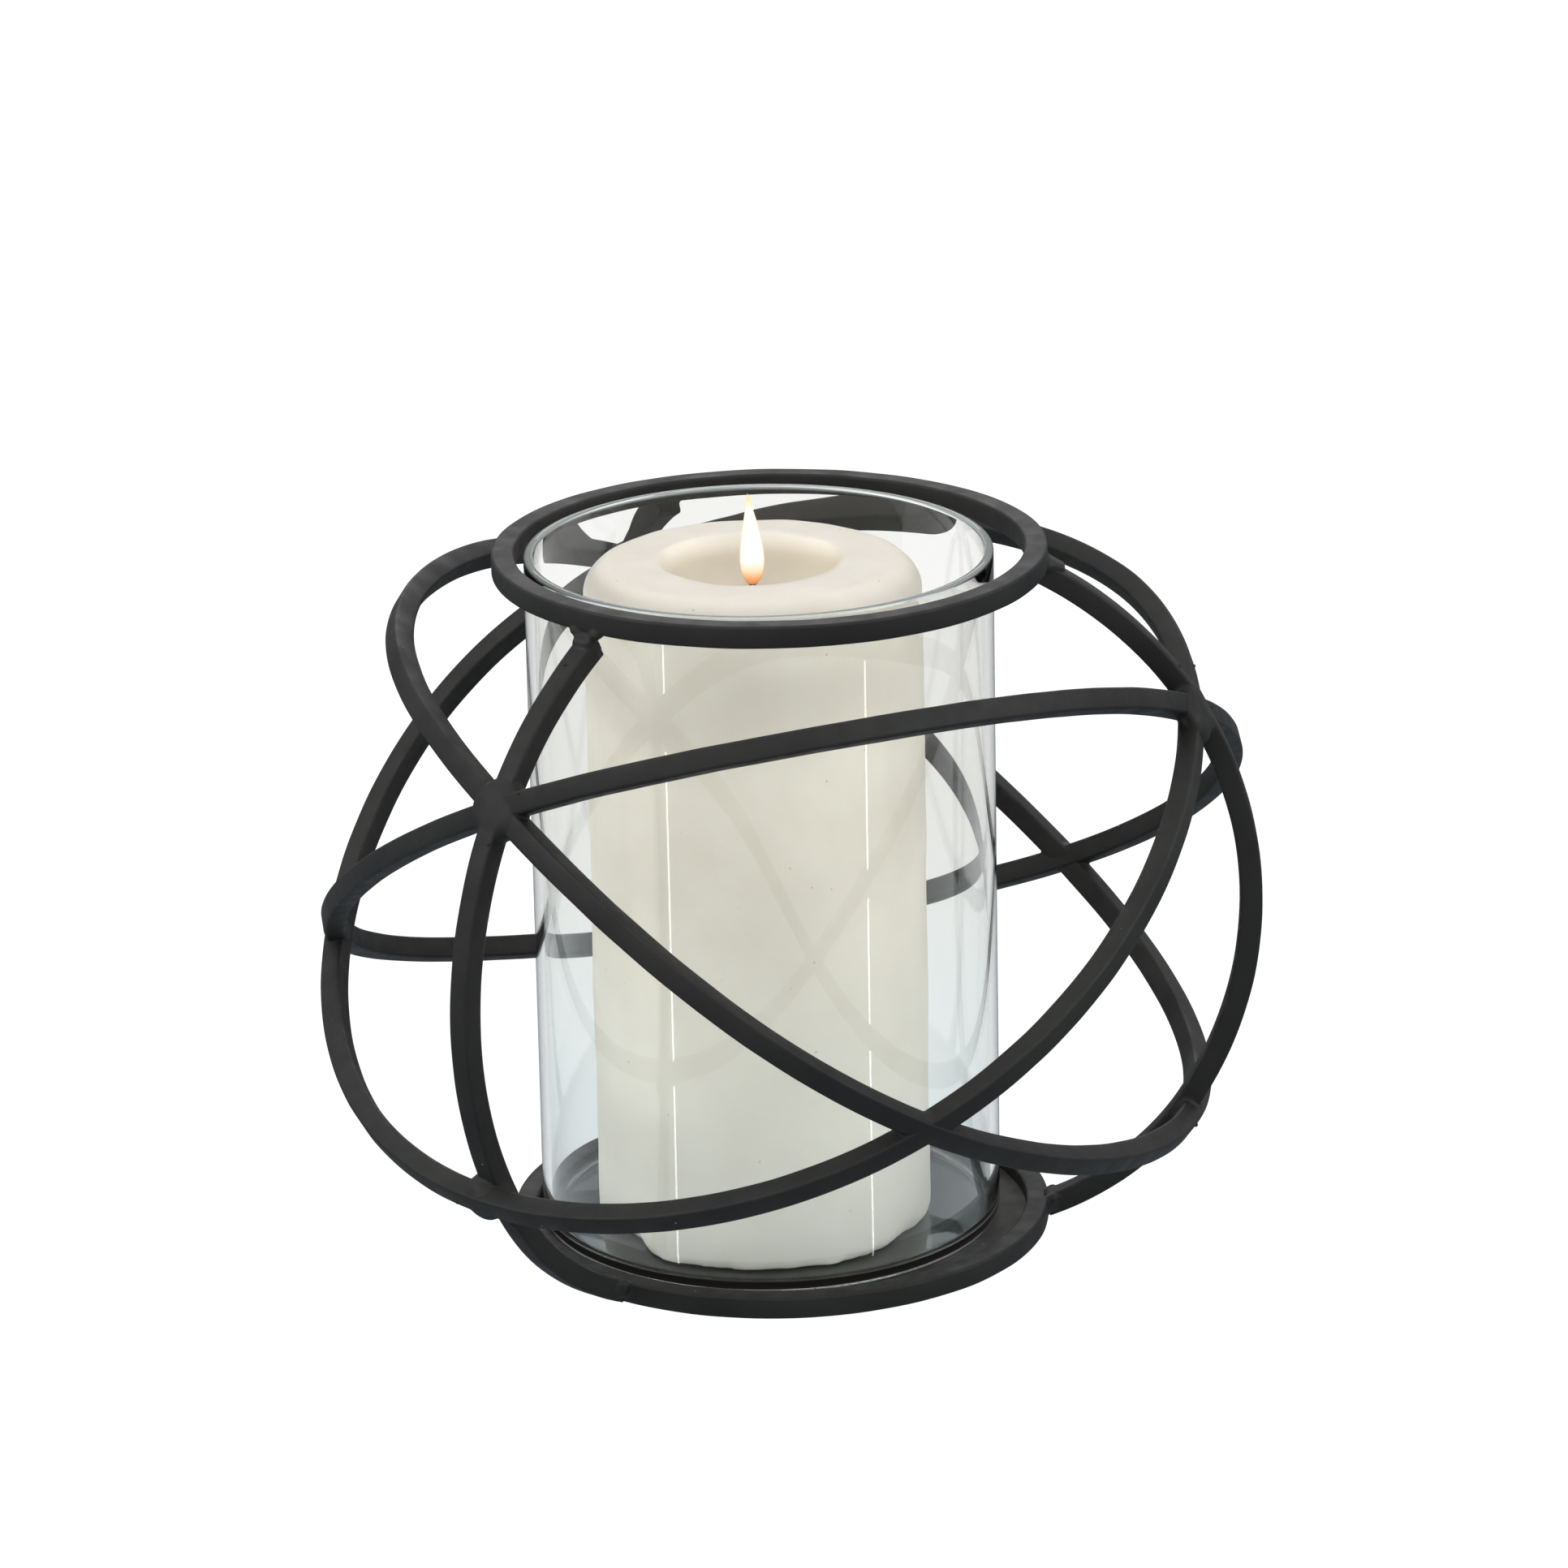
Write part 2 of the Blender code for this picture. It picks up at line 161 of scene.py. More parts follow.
COAT_DARK = (0.0060, 0.0059, 0.0057)
COAT_LIGHT = (0.0115, 0.0112, 0.0106)
COAT_DUST = (0.32, 0.29, 0.25)
TRAY_DARK = (0.010, 0.0092, 0.0082)
TRAY_LIGHT = (0.017, 0.0156, 0.0140)
TRAY_GLOW = (0.0016, 0.0014, 0.0012)  # stands for light that the glass throws into the tray
HEEL_GLOW = (0.0012, 0.0011, 0.0010)  # and into its own heavy heel
# the glass's tint with a painted reflection laid in: bluish towards the foot, grey-green towards the top
GLASS_TINT_REFLECTION_LOW = (0.876, 0.920, 0.928)
GLASS_TINT_REFLECTION_HIGH = (0.868, 0.872, 0.852)
GLASS_SHADOW = (0.93, 0.955, 0.955)
# painted highlight along the rim's inner and outer edges
RIM_HIGHLIGHT = (0.80, 0.86, 0.88)
RIM_WALL = (0.26, 0.30, 0.28)
RIM_SHARE = 0.55
WAX_DARK = (0.735, 0.687, 0.604)
WAX_MIDDLE = (0.765, 0.719, 0.637)
WAX_LIGHT = (0.795, 0.752, 0.675)
WAX_POOL = (0.66, 0.59, 0.465)
WAX_PIT = (0.52, 0.46, 0.36)
# colour of the painted shade at the candle's foot
WAX_SHADE = (0.42, 0.385, 0.335)
WAX_FOOT_SHADE = (  # share of painted shade from the candle's foot to its top, darkest at the foot
    (0.0, (0.62, 0.62, 0.62)),
    (0.07, (0.40, 0.40, 0.40)),
    (0.20, (0.16, 0.16, 0.16)),
    (0.55, (0.10, 0.10, 0.10)),
    (0.72, (0.0, 0.0, 0.0)),
)
WICK_CHAR = (0.10, 0.025, 0.010)
WICK_COTTON = (0.34, 0.10, 0.040)
FLAME_BODY = (  # from the wick to the tip
    (0.00, (0.62, 0.16, 0.05)),
    (0.10, (0.93, 0.42, 0.16)),
    (0.20, (1.0, 0.82, 0.58)),
    (0.30, (1.0, 0.98, 0.94)),
    (0.84, (1.0, 0.97, 0.90)),
    (0.95, (1.0, 0.80, 0.30)),
)
FLAME_OUTLINE = (
    (0.00, (0.55, 0.12, 0.04)),
    (0.20, (0.90, 0.55, 0.30)),
    (0.60, (0.93, 0.74, 0.46)),
    (1.0, (0.98, 0.74, 0.20)),
)
FLAME_STRENGTH = 1.08

# --- stage, in metres ------------------------------------------------------------------------------

CAMERA_TARGET = Vector((0.0, 0.0, 0.089))
CAMERA_PITCH = np.radians(18.9)
CAMERA_ROLL = np.radians(-1.14)
CAMERA_DISTANCE = 1.62
CAMERA_LENS = 167.7
CAMERA_SHIFT = (0.0056, 0.0383)
FLOOR_HALF = 5.0
FLOOR_GREY = (0.13, 0.13, 0.13, 1.0)
FLOOR_GLOW = 0.96
SKY = (  # height from straight down to straight up, colour
    (0.0, (0.50, 0.57, 0.63)),
    (0.38, (0.19, 0.22, 0.25)),
    (0.53, (0.50, 0.51, 0.52)),
    (1.0, (0.80, 0.795, 0.78)),
)
SKY_STRENGTH = 0.85
MIDDLE = 0.08  # height that most lamps face
BELOW = -0.30
NOT_SEEN = ("camera",)
NOT_MIRRORED = ("camera", "glossy", "transmission")  # lights surfaces, but shows in no coat or glass
ONLY_GLOSS = ("camera", "diffuse")
LAMPS = (  # name, turn, elevation, distance, size, power, height it faces, rays that don't see it
    ("overhead", -15.0, 70.0, 1.6, (1.3, 1.3), 6.2, MIDDLE, NOT_SEEN),
    ("front_fill", 0.0, 8.0, 1.6, (2.4, 0.6), 21.0, MIDDLE, NOT_MIRRORED),
    ("gloss", 180.0, 38.0, 1.8, (1.6, 0.9), 11.0, MIDDLE, ONLY_GLOSS),
    ("gloss", -72.0, 36.0, 1.8, (1.6, 0.9), 12.0, MIDDLE, ONLY_GLOSS),
    ("gloss", 72.0, 36.0, 1.8, (1.6, 0.9), 12.0, MIDDLE, ONLY_GLOSS),
    ("side_fill", -95.0, 6.0, 1.5, (1.6, 0.5), 19.5, MIDDLE, NOT_MIRRORED),
    ("strip", -47.5, 0.0, 1.1, (0.018, 0.36), 0.20, BELOW, NOT_SEEN),
    ("side_fill", 95.0, 6.0, 1.5, (1.6, 0.5), 19.5, MIDDLE, NOT_MIRRORED),
    ("strip", 50.5, 0.0, 1.1, (0.018, 0.36), 0.20, BELOW, NOT_SEEN),
)


# --- the routes of the bars ------------------------------------------------------------------------


def at_turn(turn, radius, height):
    angle = np.radians(turn)
    return np.array([radius * np.sin(angle), -radius * np.cos(angle), height])


def unit(vectors):
    return vectors / np.linalg.norm(vectors, axis=-1, keepdims=True)


def waves(angle):
    """The six waves that a hoop's course round the cage is made of."""
    angle = np.asarray(angle)
    return np.stack([np.ones_like(angle), np.cos(angle), np.sin(angle),
                     np.cos(2 * angle), np.sin(2 * angle), np.cos(3 * angle)], axis=-1)


def hoop_route(k):
    """Points all the way round hoop k and their outward directions."""
    after, before = (k + 1) % 3, (k + 2) % 3
    stations = np.array([at_turn(*CROWN[k]), at_turn(*UPPER[before]), at_turn(*SIDE[after]),
                         at_turn(*LOW[k]), at_turn(*SIDE[before]), at_turn(*UPPER[after])])
    bend = np.linalg.solve(waves(HOOP_ANGLES), stations)
    points = waves(np.linspace(0.0, 2 * np.pi, 900, endpoint=False)) @ bend
    return points, points - points.mean(axis=0)


def rib_arc_radius(rib, height):
    """Distance from the axis to a rib's arc at a height."""
    return RIBS[rib][1] + np.sqrt(RIB_RADIUS**2 - (height - RIB_CENTRE_HEIGHT) ** 2)


def rib_route(rib):
    """Points of a rib from under the top ring to the bottom ring, and their outward directions."""
    turn, offset = RIBS[rib]
    top = RIB_CENTRE_HEIGHT + np.sqrt(RIB_RADIUS**2 - (TOP_RING_RADIUS - offset) ** 2)
    angles = np.arcsin((np.array([top, LOW[rib][2]]) - RIB_CENTRE_HEIGHT) / RIB_RADIUS)
    swing = np.linspace(angles[0], angles[1], 300)
    bow = np.array([
        at_turn(turn, offset + RIB_RADIUS * np.cos(a), RIB_CENTRE_HEIGHT + RIB_RADIUS * np.sin(a))
        for a in swing
    ])
    foot_turn, bulge = FEET[rib]
    start, end = bow[-1], at_turn(foot_turn, BOTTOM_RING_RADIUS + BAR / 2 - 0.4, FOOT_HEIGHT)
    chord = unit(end - start)
    down = np.array([0.0, 0.0, -1.0])
    bend = (start + end) / 2 + 2 * bulge * unit(down - chord * np.dot(down, chord))
    s = np.linspace(0.0, 1.0, 100)[1:, None]
    foot = (1 - s) ** 2 * start + 2 * s * (1 - s) * bend + s**2 * end
    points = np.concatenate([bow, foot])
    return points, np.cross(np.gradient(points, axis=0), at_turn(turn + 90.0, 1.0, 0.0))


def ring_route(radius, height):
    """Points round a flat ring and their outward directions."""
    turns = np.linspace(0.0, 360.0, 240, endpoint=False)
    points = np.array([at_turn(turn, radius, height) for turn in turns])
    return points, points * np.array([1.0, 1.0, 0.0])


def resample(points, outward, step, closed=False):
    """The same route with its points evenly spaced."""
    if closed:
        points = np.concatenate([points, points[:1]])
        outward = np.concatenate([outward, outward[:1]])
    lengths = np.concatenate([[0.0], np.cumsum(np.linalg.norm(np.diff(points, axis=0), axis=1))])
    count = max(3, int(round(lengths[-1] / step)))
    wanted = np.linspace(0.0, lengths[-1], count + 1)
    if closed:
        wanted = wanted[:-1]
    return [np.stack([np.interp(wanted, lengths, values[:, i]) for i in range(3)], axis=1)
            for values in (points, outward)]


# --- mesh building ---------------------------------------------------------------------------------


def rounded_square(size):
    """Corner points of the bar's section as (outward, sideways) offsets."""
    points = []
    inner = size / 2 - CORNER
    for quarter in range(4):
        for step in range(CORNER_STEPS + 1):
            angle = np.pi / 2 * (quarter + step / CORNER_STEPS)
            corner = np.pi / 2 * quarter + np.pi / 4
            centre = inner * np.sqrt(2) * np.array([np.cos(corner), np.sin(corner)])
            points.append(centre + CORNER * np.array([np.cos(angle), np.sin(angle)]))
    return np.array(points)


def swept(path, outward, size, closed=False):
    """Vertices and faces of a bar along a path."""
    section = rounded_square(size)
    if closed:
        along = unit(np.roll(path, -1, axis=0) - np.roll(path, 1, axis=0))
    else:
        along = unit(np.gradient(path, axis=0))
    out = unit(outward - along * np.sum(outward * along, axis=1, keepdims=True))
    side = np.cross(along, out)
    verts = path[:, None] + out[:, None] * section[None, :, :1] + side[:, None] * section[None, :, 1:]
    rows, columns = len(path), len(section)
    faces = []
    for i in range(rows if closed else rows - 1):
        a, b = i * columns, (i + 1) % rows * columns
        for j in range(columns):
            k = (j + 1) % columns
            faces.append((a + j, a + k, b + k, b + j))
    if not closed:
        faces.append(tuple(range(columns))[::-1])
        faces.append(tuple(range((rows - 1) * columns, rows * columns)))
    return verts.reshape(-1, 3), faces


def ball(centre, outward, size, segments=24, rings=12, squareness=1.0):
    """Vertices and faces of a ball flattened along its outward direction: a puck if squareness is low."""
    bm = bmesh.new()
    bmesh.ops.create_uvsphere(bm, u_segments=segments, v_segments=rings, radius=1.0)
    for vert in bm.verts:
        flat = np.hypot(vert.co.x, vert.co.y)
        if 0.01 < flat < 0.999:
            vert.co.x *= flat ** (squareness - 1.0)
            vert.co.y *= flat ** (squareness - 1.0)
        vert.co.z = np.sign(vert.co.z) * abs(vert.co.z) ** squareness
    turn = Vector(outward).to_track_quat("Z", "Y").to_matrix().to_4x4()
    bmesh.ops.transform(bm, matrix=turn @ Matrix.Diagonal((*size, 1.0)), verts=bm.verts)
    verts = np.array([vert.co for vert in bm.verts]) + np.asarray(centre)
    faces = [tuple(vert.index for vert in face.verts) for face in bm.faces]
    bm.free()
    return verts, faces


def joined(parts):
    """The vertices and faces of several shapes in one list each."""
    verts, faces, first = [], [], 0
    for part_verts, part_faces in parts:
        verts.append(part_verts)
        faces += [tuple(first + index for index in face) for face in part_faces]
        first += len(part_verts)
    return np.concatenate(verts), faces


def mesh_from(name, verts, faces):
    """A mesh in metres with its faces pointing out."""
    mesh = bpy.data.meshes.new(name)
    mesh.from_pydata([tuple(vert) for vert in np.asarray(verts) * MM], [], faces)
    bm = bmesh.new()
    bm.from_mesh(mesh)
    bmesh.ops.recalc_face_normals(bm, faces=bm.faces)
    bm.to_mesh(mesh)
    bm.free()
    return mesh


def add_piece(name, mesh, material, body, nodes):
    """A finished piece that rides on a body and stands for these CAD nodes."""
    mesh.shade_smooth()
    mesh.materials.clear()
    mesh.materials.append(material)
    obj = bpy.data.objects.new(name, mesh)
    bpy.context.scene.collection.objects.link(obj)
    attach(obj, body)
    if nodes:
        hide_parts(*nodes)
    return obj


def roughened(verts, seed):
    """The vertices moved a little by smooth noise, as hand bent and coated bar is never quite true."""
    offset = Vector((seed * 13.7, seed * 5.1, seed * 9.3))
    return np.array([vert + UNEVEN * np.array(noise.noise_vector(Vector(vert) / UNEVEN_GRAIN + offset))
                     for vert in verts])


def fused(name, parts):
    """One skin round overlapping parts, with the inner corners run together as weld metal does."""
    mesh = mesh_from(name, *joined(parts))
    obj = bpy.data.objects.new(name, mesh)
    bpy.context.scene.collection.objects.link(obj)
    remesh = obj.modifiers.new("skin", "REMESH")
    remesh.mode = "VOXEL"
    remesh.voxel_size = VOXEL * MM
    relax = obj.modifiers.new("fillet", "SMOOTH")
    relax.factor = 0.5
    relax.iterations = FILLET_PASSES
    thin = obj.modifiers.new("thin", "DECIMATE")
    thin.ratio = KEPT_FACES
    graph = bpy.context.evaluated_depsgraph_get()
    result = bpy.data.meshes.new_from_object(obj.evaluated_get(graph), depsgraph=graph)
    bpy.data.objects.remove(obj)
    bpy.data.meshes.remove(mesh)
    result.name = name
    return result


def turned(profile, centre, segments, bend=None):
    """Vertices and faces of a solid turned from (radius, height) points that start and end on the axis.

    bend, if given, moves each point: it takes and returns a radius and a height, and takes the angle too.
    """
    verts, rows, faces = [], [], []
    for radius, height in profile:
        if radius < 1e-6:
            rows.append([len(verts)])
            verts.append((centre[0], centre[1], height))
            continue
        rows.append(list(range(len(verts), len(verts) + segments)))
        for i in range(segments):
            angle = 2 * np.pi * i / segments
            reach, lift = (radius, height) if bend is None else bend(radius, height, angle)
            verts.append((centre[0] + reach * np.sin(angle), centre[1] - reach * np.cos(angle), lift))
    for here, there in zip(rows, rows[1:]):
        for i in range(segments):
            j = (i + 1) % segments
            near, far = len(here), len(there)
            corners = (here[i % near], here[j % near], there[j % far], there[i % far])
            faces.append(tuple(dict.fromkeys(corners)))
    return np.array(verts), faces


def arc(centre, radius, start, end, steps):
    """Points of an arc in a profile, from one angle in degrees to another."""
    angles = np.radians(np.linspace(start, end, steps + 1))
    return [(centre[0] + radius * np.cos(a), centre[1] + radius * np.sin(a)) for a in angles]


# --- materials -------------------------------------------------------------------------------------


def fill_ramp(ramp, stops):
    """Gives a colour ramp these (position, colour) stops."""
    while len(ramp.elements) < len(stops):
        ramp.elements.new(0.5)
    for element, (position, colour) in zip(ramp.elements, stops):
        element.position = position
        element.color = (*colour, 1.0)


class Shader:
    """A Principled material under construction."""

    def __init__(self, name):
        self.material = bpy.data.materials.new(name)
        self.material.use_nodes = True
        self.tree = self.material.node_tree
        self.bsdf = self.tree.nodes["Principled BSDF"]
        self.output = self.tree.nodes["Material Output"]
        self.coord = self.tree.nodes.new("ShaderNodeTexCoord").outputs["Object"]

    def set(self, **values):
        """Plain values of the Principled node's inputs."""
        for name, value in values.items():
            self.bsdf.inputs[name.replace("_", " ")].default_value = value

    def link(self, source, target):
        self.tree.links.new(source, target)

    def noise(self, size_mm, detail=2.0, rough=0.5, stretch=None):
        """Cloudy noise with features of about this size."""
        source = self.coord
        if stretch:
            mapping = self.tree.nodes.new("ShaderNodeMapping")
            mapping.inputs["Scale"].default_value = stretch
            self.link(source, mapping.inputs["Vector"])
            source = mapping.outputs["Vector"]
        made = self.tree.nodes.new("ShaderNodeTexNoise")
        made.inputs["Scale"].default_value = 1.0 / (size_mm * MM)
        made.inputs["Detail"].default_value = detail
        made.inputs["Roughness"].default_value = rough
        self.link(source, made.inputs["Vector"])
        return made.outputs["Fac"]

    def ramp(self, source, stops):
        """A colour that follows a value."""
        made = self.tree.nodes.new("ShaderNodeValToRGB")
        fill_ramp(made.color_ramp, stops)
        self.link(source, made.inputs["Fac"])
        return made.outputs["Color"]

    def spread(self, source, low, high, start=0.3, end=0.7):
        """A value from low to high as source goes from start to end."""
        made = self.tree.nodes.new("ShaderNodeMapRange")
        for name, value in (("From Min", start), ("From Max", end), ("To Min", low), ("To Max", high)):
            made.inputs[name].default_value = value
        self.link(source, made.inputs["Value"])
        return made.outputs["Result"]

    def mix(self, factor, first, second):
        """The first colour where factor is 0 and the second where it is 1."""
        made = self.tree.nodes.new("ShaderNodeMix")
        made.data_type = "RGBA"
        self.link(factor, made.inputs["Factor"])
        colours = [socket for socket in made.inputs if socket.type == "RGBA"]
        for socket, value in zip(colours, (first, second)):
            if isinstance(value, tuple):
                socket.default_value = (*value, 1.0)
            else:
                self.link(value, socket)
        return next(socket for socket in made.outputs if socket.type == "RGBA")

    def reach(self, centre_mm):
        """Distance from an upright axis through centre_mm, in millimetres."""
        flat = self.tree.nodes.new("ShaderNodeVectorMath")
        flat.operation = "MULTIPLY_ADD"
        flat.inputs[1].default_value = (1.0 / MM, 1.0 / MM, 0.0)
        flat.inputs[2].default_value = (-centre_mm[0], -centre_mm[1], 0.0)
        self.link(self.coord, flat.inputs[0])
        length = self.tree.nodes.new("ShaderNodeVectorMath")
        length.operation = "LENGTH"
        self.link(flat.outputs["Vector"], length.inputs[0])
        return length.outputs["Value"]

    def height(self):
        """Height in the piece's own frame, in metres."""
        split = self.tree.nodes.new("ShaderNodeSeparateXYZ")
        self.link(self.coord, split.inputs["Vector"])
        return split.outputs["Z"]

    def times(self, first, second):
        made = self.tree.nodes.new("ShaderNodeMath")
        made.operation = "MULTIPLY"
        self.link(first, made.inputs[0])
        self.link(second, made.inputs[1])
        return made.outputs["Value"]

    def specks(self, spacing_mm, size, share):
        """A mask of small round specks in a share of the cells of a grid."""
        cells = self.tree.nodes.new("ShaderNodeTexVoronoi")
        cells.inputs["Scale"].default_value = 1.0 / (spacing_mm * MM)
        self.link(self.coord, cells.inputs["Vector"])
        split = self.tree.nodes.new("ShaderNodeSeparateColor")
        self.link(cells.outputs["Color"], split.inputs["Color"])
        near = self.spread(cells.outputs["Distance"], 1.0, 0.0, size * 0.5, size)
        chosen = self.spread(split.outputs["Red"], 0.0, 1.0, 1.0 - share, 1.0 - share + 0.01)
        return self.times(near, chosen)

    def bump(self, source, depth_mm, strength=1.0, below=None):
        """Fine relief, laid over the relief below if there is one."""
        made = self.tree.nodes.new("ShaderNodeBump")
        made.inputs["Strength"].default_value = strength
        made.inputs["Distance"].default_value = depth_mm * MM
        self.link(source, made.inputs["Height"])
        if below is not None:
            self.link(below, made.inputs["Normal"])
        self.link(made.outputs["Normal"], self.bsdf.inputs["Normal"])
        return made.outputs["Normal"]


def powder_coat(name, dark, light, glow=None):
    """Matt black coating: a fine orange peel, faint cloudiness, and a few pale specks of dust."""
    shader = Shader(name)
    clouds = shader.noise(28.0, 3.0)
    coat = shader.ramp(clouds, [(0.32, dark), (0.70, light)])
    dust = shader.specks(3.2, 0.055, 0.16)
    shader.link(shader.mix(dust, coat, COAT_DUST), shader.bsdf.inputs["Base Color"])
    shader.link(shader.spread(shader.noise(6.0, 3.0), 0.50, 0.66), shader.bsdf.inputs["Roughness"])
    shader.set(Specular_IOR_Level=0.32)
    if glow:
        shader.set(Emission_Color=(*glow, 1.0), Emission_Strength=1.0)
    peel = shader.bump(shader.noise(0.9, 2.0), 0.035, 0.6)
    shader.bump(shader.noise(5.0, 2.0), 0.10, 0.5, below=peel)
    return shader.material


def clear_glass():
    """Clear soda glass that lets lamps shine through on to the candle."""
    shader = Shader("clear_glass")
    shader.set(Transmission_Weight=1.0, IOR=1.47, Emission_Strength=1.0)
    rise = shader.spread(shader.height(), 0.0, 1.0, GLASS_LOW[2] * MM, GLASS_HIGH[2] * MM)
    # tint with a painted reflection, bluish low and grey-green high, over the glass's height
    tint_and_reflection = shader.ramp(rise, [(0.10, GLASS_TINT_REFLECTION_LOW), (0.62, GLASS_TINT_REFLECTION_HIGH)])
    shader.link(tint_and_reflection, shader.bsdf.inputs["Base Color"])
    glow = shader.ramp(rise, [(0.020, HEEL_GLOW), (0.034, (0.0, 0.0, 0.0))])
    shader.link(glow, shader.bsdf.inputs["Emission Color"])
    film = shader.noise(22.0, 3.0, stretch=(1.0, 1.0, 0.25))
    shader.link(shader.spread(film, 0.0, 0.02, 0.45, 0.75), shader.bsdf.inputs["Roughness"])
    shader.bump(shader.noise(30.0, 1.0, stretch=(1.0, 1.0, 0.15)), 0.03, 0.35)
    clear = shader.tree.nodes.new("ShaderNodeBsdfTransparent")
    clear.inputs["Color"].default_value = (*GLASS_SHADOW, 1.0)
    path = shader.tree.nodes.new("ShaderNodeLightPath")
    mix = shader.tree.nodes.new("ShaderNodeMixShader")
    shader.link(path.outputs["Is Shadow Ray"], mix.inputs["Fac"])
    shader.link(glass_rim(shader), mix.inputs[1])
    shader.link(clear.outputs["BSDF"], mix.inputs[2])
    shader.link(mix.outputs["Shader"], shader.output.inputs["Surface"])
    return shader.material


def glass_rim(shader):
    """The glass, with painted highlights along the melted rim's two edges and its grey-green cut wall laid
    over its top edge.
    """
    rim = shader.tree.nodes.new("ShaderNodeBsdfPrincipled")
    inner, outer = GLASS_RADIUS - GLASS_WALL, GLASS_RADIUS
    across = shader.spread(shader.reach(GLASS_CENTRE), 0.0, 1.0, inner - 0.15, outer + 0.15)
    # painted highlights at the rim's inner and outer edges, with the grey-green cut wall between them
    highlight_and_wall = shader.ramp(across, [(0.10, RIM_HIGHLIGHT), (0.28, RIM_WALL), (0.68, RIM_WALL), (0.88, RIM_HIGHLIGHT)])
    shader.link(highlight_and_wall, rim.inputs["Base Color"])
    rim.inputs["Roughness"].default_value = 0.25
    top = GLASS_HIGH[2] * MM
    share = shader.spread(shader.height(), 0.0, RIM_SHARE, top - 0.0011, top - 0.0002)
    laid = shader.tree.nodes.new("ShaderNodeMixShader")
    shader.link(share, laid.inputs["Fac"])
    shader.link(shader.bsdf.outputs["BSDF"], laid.inputs[1])
    shader.link(rim.outputs["BSDF"], laid.inputs[2])
    return laid.outputs["Shader"]


def ivory_wax():
    """Rustic ivory wax: cloudy blotches, pits, painted shade darkening its foot and a beige pool round the
    wick.
    """
    shader = Shader("ivory_wax")
    blotches = shader.noise(14.0, 4.0, 0.6)
    wax = shader.ramp(blotches, [(0.30, WAX_DARK), (0.50, WAX_MIDDLE), (0.72, WAX_LIGHT)])
    inside = shader.spread(shader.reach(CANDLE_CENTRE), 1.0, 0.0, WELL_RADIUS - 1.6, WELL_RADIUS + 0.4)
    on_top = shader.spread(shader.height(), 0.0, 1.0, (CANDLE_TOP - 9.0) * MM, (CANDLE_TOP - 8.0) * MM)
    wax = shader.mix(shader.times(inside, on_top), wax, WAX_POOL)
    # painted shade: the wax darkens towards its foot
    rise = shader.spread(shader.height(), 0.0, 1.0, CANDLE_LOW[2] * MM, CANDLE_TOP * MM)
    wax = shader.mix(shader.ramp(rise, WAX_FOOT_SHADE), wax, WAX_SHADE)
    pits = shader.specks(4.0, 0.09, 0.35)
    shader.link(shader.mix(pits, wax, WAX_PIT), shader.bsdf.inputs["Base Color"])
    shader.link(shader.spread(shader.noise(4.0, 3.0), 0.48, 0.68), shader.bsdf.inputs["Roughness"])
    shader.set(Subsurface_Weight=0.25, Subsurface_Radius=(1.0, 0.75, 0.5), Subsurface_Scale=0.003,
               Specular_IOR_Level=0.35)
    grain = shader.bump(shader.noise(1.2, 3.0), 0.05, 0.5)
    shader.bump(shader.noise(6.0, 3.0), 0.25, 0.5, below=grain)
    return shader.material


def burnt_wick():
    """Braided cotton, charred in streaks."""
    shader = Shader("burnt_wick")
    fibres = shader.noise(0.35, 3.0, stretch=(1.0, 1.0, 0.3))
    cotton = shader.ramp(fibres, [(0.35, WICK_CHAR), (0.65, WICK_COTTON)])
    shader.link(cotton, shader.bsdf.inputs["Base Color"])
    shader.set(Roughness=0.9)
    shader.bump(fibres, 0.2)
    return shader.material


def candle_flame(low, high):
    """A white body with a warm outline, orange at the wick and yellow at the tip."""
    shader = Shader("candle_flame")
    rise = shader.spread(shader.height(), 0.0, 1.0, low * MM, high * MM)
    body = shader.ramp(rise, FLAME_BODY)
    outline = shader.ramp(rise, FLAME_OUTLINE)
    layer = shader.tree.nodes.new("ShaderNodeLayerWeight")
    edge = shader.spread(layer.outputs["Facing"], 0.0, 1.0, 0.50, 0.85)
    shader.link(shader.mix(edge, body, outline), shader.bsdf.inputs["Emission Color"])
    shader.set(Base_Color=(0.0, 0.0, 0.0, 1.0), Emission_Strength=FLAME_STRENGTH, Roughness=1.0,
               Specular_IOR_Level=0.0)
    return shader.material


# --- the cage --------------------------------------------------------------------------------------


def knot_centre(kind, index):
    """The middle of a knot: on its station, or between the station and the rib that it is welded to."""
    station = at_turn(*{"upper": UPPER, "low": LOW, "side": SIDE}[kind][index])
    if kind == "side":
        return station
    turn, height = RIBS[index][0], station[2]
    return (station + at_turn(turn, rib_arc_radius(index, height), height)) / 2


def check_route(kind, index):
    """Stops the script if the route repeated above is not the one that the CAD was made from."""
    low, high = box_mm(f"weld_{kind}_{index + 1}")
    if np.linalg.norm((low + high) / 2 - knot_centre(kind, index)) > MAX_MISS:
        raise ValueError(f"weld_{kind}_{index + 1} is not where this script's route has it")


def stub(route, centre, reach):
    """The stretch of a route near a weld, as a slightly thinner bar, or None if it passes elsewhere."""
    points, outward = route
    near = np.linalg.norm(points - centre, axis=1) < reach
    if near.sum() < 4:
        return None
    index = np.nonzero(near)[0]
    gaps = np.nonzero(np.diff(index) > 1)[0]
    if len(gaps):
        index = np.roll(index, -int(gaps[0]) - 1)
    return swept(*resample(points[index], outward[index], STUB_STEP), STUB_BAR)


def add_bar(name, route, closed, coat, nodes, seed):
    verts, faces = swept(*resample(*route, PATH_STEP, closed), BAR, closed)
    add_piece(name, mesh_from(name, roughened(verts, seed), faces), coat, "cage", nodes)


def add_weld(name, routes, centre, lumps, coat, node, reach=STUB_REACH):
    """A weld with fillets between the bars that pass it, and with nothing below the table."""
    stubs = [part for part in (stub(route, centre, reach) for route in routes) if part]
    mesh = fused(name, stubs + lumps)
    for vert in mesh.vertices:
        vert.co.z = max(vert.co.z, 0.0)
    add_piece(name, mesh, coat, "cage", [node])


